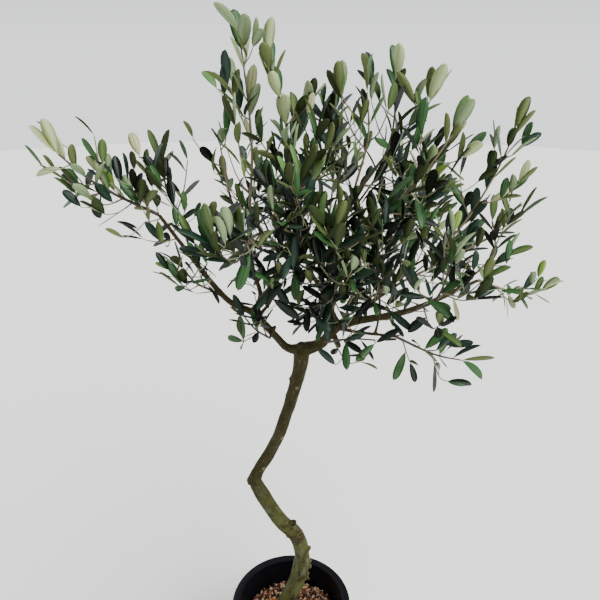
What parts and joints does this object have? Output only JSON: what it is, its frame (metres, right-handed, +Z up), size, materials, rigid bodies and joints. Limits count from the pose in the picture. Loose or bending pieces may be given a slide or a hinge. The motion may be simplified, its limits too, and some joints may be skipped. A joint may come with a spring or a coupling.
{
  "type": "potted olive tree",
  "caption": "Young olive tree with an S-bent trunk and an open crown of narrow grey-green leaves, in a round black nursery pot filled with bark chips.",
  "frame": {"origin": "centre of the flat underside of the pot, where it stands on the floor", "axes": "+Z up the trunk, +X to the right of the tree's front view, +Y to its back"},
  "size_m": [0.8076, 0.4693, 1.3199],
  "materials": {
    "pot": "satin",
    "soil": "rough",
    "bark": "rough",
    "foliage": "satin"
  },
  "bodies": {
    "root": {"pot": "pot", "soil": "soil", "trunk": "bark", "bough_left_arm": "bark", "bough_right_arm": "bark", "bough_left_rise": "bark", "bough_top_left": "bark", "bough_left_inner": "bark", "bough_left_front": "bark", "bough_back_left": "bark", "bough_left_upper": "bark", "bough_left_low": "bark", "bough_lower_left": "bark", "bough_centre": "bark", "bough_top_middle": "bark", "bough_diagonal": "bark", "bough_top_near_right": "bark", "bough_top_far_right": "bark", "bough_top_back_right": "bark", "bough_right_diagonal": "bark", "bough_right_middle": "bark", "bough_right_upper": "bark", "bough_right_rise": "bark", "bough_right_low": "bark", "bough_front_rise": "bark", "bough_back_middle": "bark", "bough_back_right": "bark", "bough_back_low": "bark", "bough_front_middle": "bark", "bough_front_right": "bark", "bough_lower_front": "bark", "foliage_left_arm": "foliage", "foliage_right_arm": "foliage", "foliage_left_rise": "foliage", "foliage_top_left": "foliage", "foliage_left_inner": "foliage", "foliage_left_front": "foliage", "foliage_back_left": "foliage", "foliage_left_upper": "foliage", "foliage_left_low": "foliage", "foliage_lower_left": "foliage", "foliage_centre": "foliage", "foliage_top_middle": "foliage", "foliage_diagonal": "foliage", "foliage_top_near_right": "foliage", "foliage_top_far_right": "foliage", "foliage_top_back_right": "foliage", "foliage_right_diagonal": "foliage", "foliage_right_middle": "foliage", "foliage_right_upper": "foliage", "foliage_right_rise": "foliage", "foliage_right_low": "foliage", "foliage_front_rise": "foliage", "foliage_back_middle": "foliage", "foliage_back_right": "foliage", "foliage_back_low": "foliage", "foliage_front_middle": "foliage", "foliage_front_right": "foliage", "foliage_lower_front": "foliage"}
  },
  "joints": []
}
